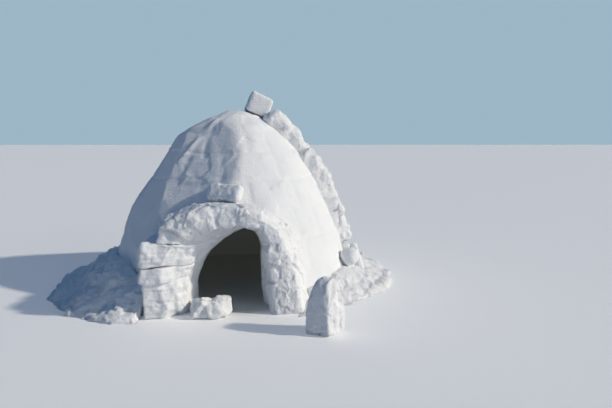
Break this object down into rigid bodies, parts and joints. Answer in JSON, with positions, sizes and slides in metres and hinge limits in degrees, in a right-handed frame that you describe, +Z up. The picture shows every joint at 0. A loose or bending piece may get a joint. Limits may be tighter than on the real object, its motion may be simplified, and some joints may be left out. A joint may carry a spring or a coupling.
{
  "type": "snow block igloo",
  "caption": "Hollow igloo of cut snow blocks with an arched crawl-in doorway, a short block porch, a ridge of slabs up one side and snow banked at its foot.",
  "frame": {"origin": "on the ground at the dome's upright axis, under the key block", "axes": "+Z up, -Y out through the doorway, +X to the right of someone who looks at the doorway"},
  "size_m": [3.924, 4.2468, 2.2033],
  "materials": {
    "snow_wall": "packed snow blocks, smoothed by hand outside, matt with a fine sparkle",
    "snow_porch": "sawn snow slabs with fine level layers on the cut ends",
    "snow_block": "sawn snow blocks with worn edges",
    "snow_bank": "loose snow thrown up and patted down"
  },
  "bodies": {
    "root": {"course_1": "snow_wall", "course_2": "snow_wall", "course_3": "snow_wall", "course_4": "snow_wall", "course_5": "snow_wall", "course_6": "snow_wall", "course_7": "snow_wall", "key_block": "snow_wall", "porch_left_slab_1": "snow_porch", "porch_left_slab_2": "snow_porch", "porch_left_slab_3": "snow_porch", "porch_left_slab_4": "snow_porch", "porch_right_block_1": "snow_porch", "porch_right_block_2": "snow_porch", "porch_right_block_3": "snow_porch", "porch_arch_block_1": "snow_porch", "porch_arch_block_2": "snow_porch", "porch_arch_block_3": "snow_porch", "porch_arch_block_4": "snow_porch", "porch_arch_block_5": "snow_porch", "rib_block_1": "snow_block", "rib_block_2": "snow_block", "rib_block_3": "snow_block", "rib_block_4": "snow_block", "rib_block_5": "snow_block", "rib_block_6": "snow_block", "rib_block_7": "snow_block", "rib_block_8": "snow_block", "brow_block": "snow_block", "top_block": "snow_block", "foot_slab_1": "snow_block", "foot_slab_2": "snow_block", "foot_lump": "snow_block", "threshold_block": "snow_block", "door_block": "snow_block", "bank_left": "snow_bank", "bank_back_left": "snow_bank", "bank_back_right": "snow_bank", "bank_right": "snow_bank"}
  },
  "joints": []
}
